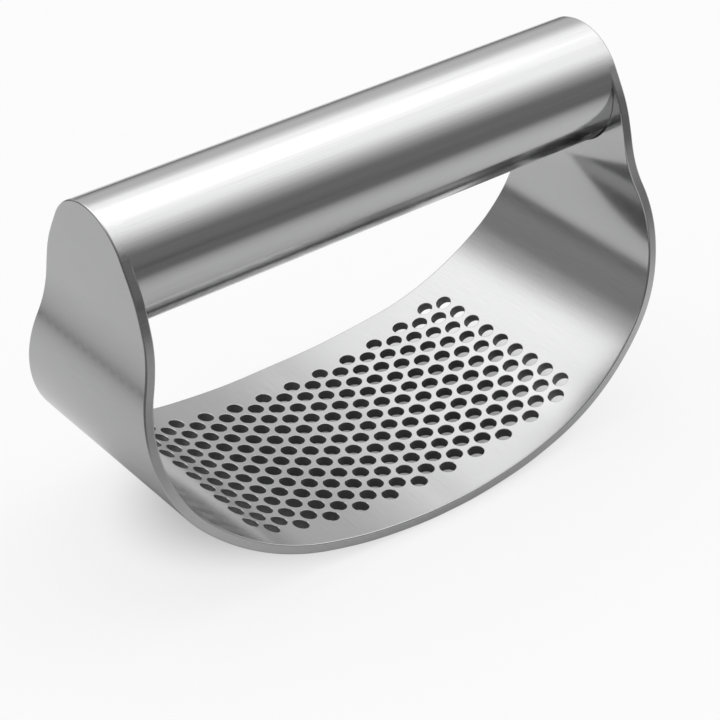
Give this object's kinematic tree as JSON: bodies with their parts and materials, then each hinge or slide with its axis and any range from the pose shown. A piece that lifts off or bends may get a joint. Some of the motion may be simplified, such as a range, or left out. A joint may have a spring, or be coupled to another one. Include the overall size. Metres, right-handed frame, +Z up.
{
  "type": "rocking garlic press",
  "caption": "Rocking garlic press: a bent, perforated steel plate whose two upright cheeks carry a tubular handle.",
  "frame": {"origin": "on the surface the press stands on, under the middle of the sole", "axes": "+X along the handle, +Y across the plate away from the user, +Z up"},
  "size_m": [0.1174, 0.0588, 0.073],
  "materials": {
    "satin_steel": "satin, finely brushed stainless steel",
    "tube_steel": "satin stainless steel, brushed along the tube",
    "weld_steel": "ground flush and satin"
  },
  "bodies": {
    "root": {"rocker_plate": "satin_steel", "handle_tube": "tube_steel", "weld_left": "weld_steel", "weld_right": "weld_steel"}
  },
  "joints": []
}
